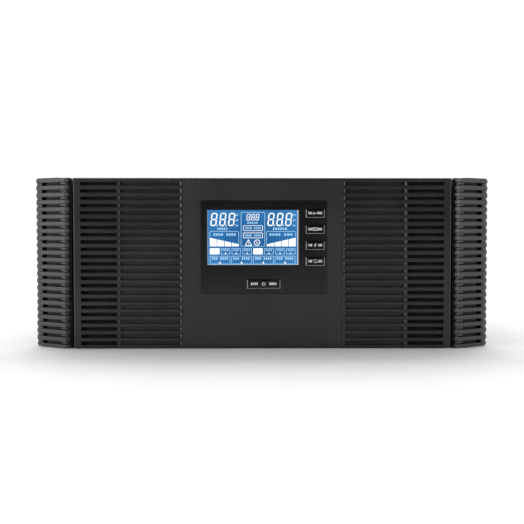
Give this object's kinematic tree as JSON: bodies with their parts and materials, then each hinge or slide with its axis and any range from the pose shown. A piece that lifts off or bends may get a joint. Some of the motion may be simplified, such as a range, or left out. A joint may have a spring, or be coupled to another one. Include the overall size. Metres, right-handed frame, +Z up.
{
  "type": "rackmount ups",
  "caption": "Four-unit rack case with slotted black front, pull-off slatted end covers, blue display with keys, rear fans, breaker, battery studs and mains terminals.",
  "frame": {"origin": "on the plane the feet stand on, at the middle of the outline in X and Y", "axes": "+X to the right seen from the front, +Y to the rear, +Z up"},
  "size_m": [0.4826, 0.426, 0.1785],
  "materials": {
    "moulded_abs": "fine spark-eroded texture, satin black ABS",
    "smooth_abs": "fine matte texture, dark grey-black ABS",
    "display_black": "smooth semi-matte black",
    "clear_lens": "clear acrylic",
    "lcd_blue": "backlit blue liquid-crystal display",
    "white_plastic": "white light guide",
    "key_black": "satin black key caps",
    "zinc_steel": "zinc-plated steel",
    "black_screw": "black-oxide steel",
    "circuit_board": "green solder mask on glass-epoxy laminate",
    "black_plastic": "moulded black thermoset",
    "powder_coat": "fine-texture black powder coat on steel sheet",
    "filter_foam": "open-cell foam",
    "foot_rubber": "black rubber",
    "fan_plastic": "glass-filled black nylon",
    "chromed_wire": "bright-plated steel",
    "lever_plastic": "off-white moulded lever",
    "red_plastic": "moulded red plastic",
    "plated_brass": "machined brass",
    "terminal_green": "moulded green plastic",
    "copper_winding": "enamelled copper wire",
    "core_steel": "wound electrical steel",
    "extruded_aluminium": "plain extruded aluminium",
    "capacitor_sleeve": "dark blue shrink sleeve",
    "relay_plastic": "blue moulded relay case",
    "lead_insulation": "soft insulated lead",
    "ribbon_grey": "grey ribbon cable"
  },
  "bodies": {
    "chassis": {"ac_terminal_block": "terminal_green", "battery_leads": "lead_insulation", "battery_studs": "plated_brass", "bezel_screws": "zinc_steel", "board_standoffs": "plated_brass", "breaker_body": "black_plastic", "button_switches": "black_plastic", "capacitors": "capacitor_sleeve", "centre_panel": "smooth_abs", "chassis_tray": "powder_coat", "comm_port": "chromed_wire", "control_board": "circuit_board", "control_board_bracket": "zinc_steel", "cover_screws": "black_screw", "display_board": "circuit_board", "display_plate": "display_black", "display_screws": "zinc_steel", "dust_filters": "filter_foam", "ear_screws": "black_screw", "earth_stud": "plated_brass", "fan_frames": "fan_plastic", "fan_guards": "chromed_wire", "fan_screws": "black_screw", "foot_screws": "zinc_steel", "front_bezel": "moulded_abs", "front_plate": "powder_coat", "heat_sinks": "extruded_aluminium", "lcd_backlight": "white_plastic", "lcd_frame": "zinc_steel", "lcd_panel": "lcd_blue", "lcd_window": "clear_lens", "left_rack_ear": "powder_coat", "negative_terminal_base": "black_plastic", "output_choke": "copper_winding", "positive_terminal_base": "red_plastic", "power_board": "circuit_board", "power_transistors": "black_plastic", "rear_panel": "powder_coat", "relays": "relay_plastic", "ribbon_cable": "ribbon_grey", "right_rack_ear": "powder_coat", "rubber_feet": "foot_rubber", "terminal_nuts": "zinc_steel", "terminal_screws": "zinc_steel", "top_cover": "powder_coat", "transformer_bolt": "zinc_steel", "transformer_clamp": "zinc_steel", "transformer_core": "core_steel", "transformer_pads": "foot_rubber", "transformer_winding": "copper_winding"},
    "enter_key": {"enter_button": "key_black"},
    "battery_key": {"battery_button": "key_black"},
    "charge_key": {"charge_button": "key_black"},
    "mode_key": {"mode_button": "key_black"},
    "power_key": {"power_button": "key_black"},
    "outer_fan": {"outer_fan_rotor": "fan_plastic"},
    "inner_fan": {"inner_fan_rotor": "fan_plastic"},
    "breaker_toggle": {"breaker_lever": "lever_plastic"},
    "left_cover": {"left_end_cover": "moulded_abs"},
    "right_cover": {"right_end_cover": "moulded_abs"}
  },
  "joints": [
    {"name": "enter_press", "type": "slide", "parent": "chassis", "child": "enter_key", "axis": [0, 1, 0], "range_m": [0, 0.0008], "stiffness_N_per_m": 1500},
    {"name": "battery_press", "type": "slide", "parent": "chassis", "child": "battery_key", "axis": [0, 1, 0], "range_m": [0, 0.0008], "stiffness_N_per_m": 1500},
    {"name": "charge_press", "type": "slide", "parent": "chassis", "child": "charge_key", "axis": [0, 1, 0], "range_m": [0, 0.0008], "stiffness_N_per_m": 1500},
    {"name": "mode_press", "type": "slide", "parent": "chassis", "child": "mode_key", "axis": [0, 1, 0], "range_m": [0, 0.0008], "stiffness_N_per_m": 1500},
    {"name": "power_press", "type": "slide", "parent": "chassis", "child": "power_key", "axis": [0, 1, 0], "range_m": [0, 0.0008], "stiffness_N_per_m": 1500},
    {"name": "outer_fan_spin", "type": "hinge", "parent": "chassis", "child": "outer_fan", "pos_m": [-0.16, 0.1734, 0.112], "axis": [0, 1, 0], "continuous": true},
    {"name": "inner_fan_spin", "type": "hinge", "parent": "chassis", "child": "inner_fan", "pos_m": [-0.07, 0.1734, 0.112], "axis": [0, 1, 0], "continuous": true},
    {"name": "breaker_switch", "type": "hinge", "parent": "chassis", "child": "breaker_toggle", "pos_m": [0.006, 0.1874, 0.118], "axis": [1, 0, 0], "range_deg": [0, 50]},
    {"name": "left_cover_pull", "type": "slide", "parent": "chassis", "child": "left_cover", "axis": [0, -1, 0], "range_m": [0, 0.04]},
    {"name": "right_cover_pull", "type": "slide", "parent": "chassis", "child": "right_cover", "axis": [0, -1, 0], "range_m": [0, 0.04]}
  ]
}
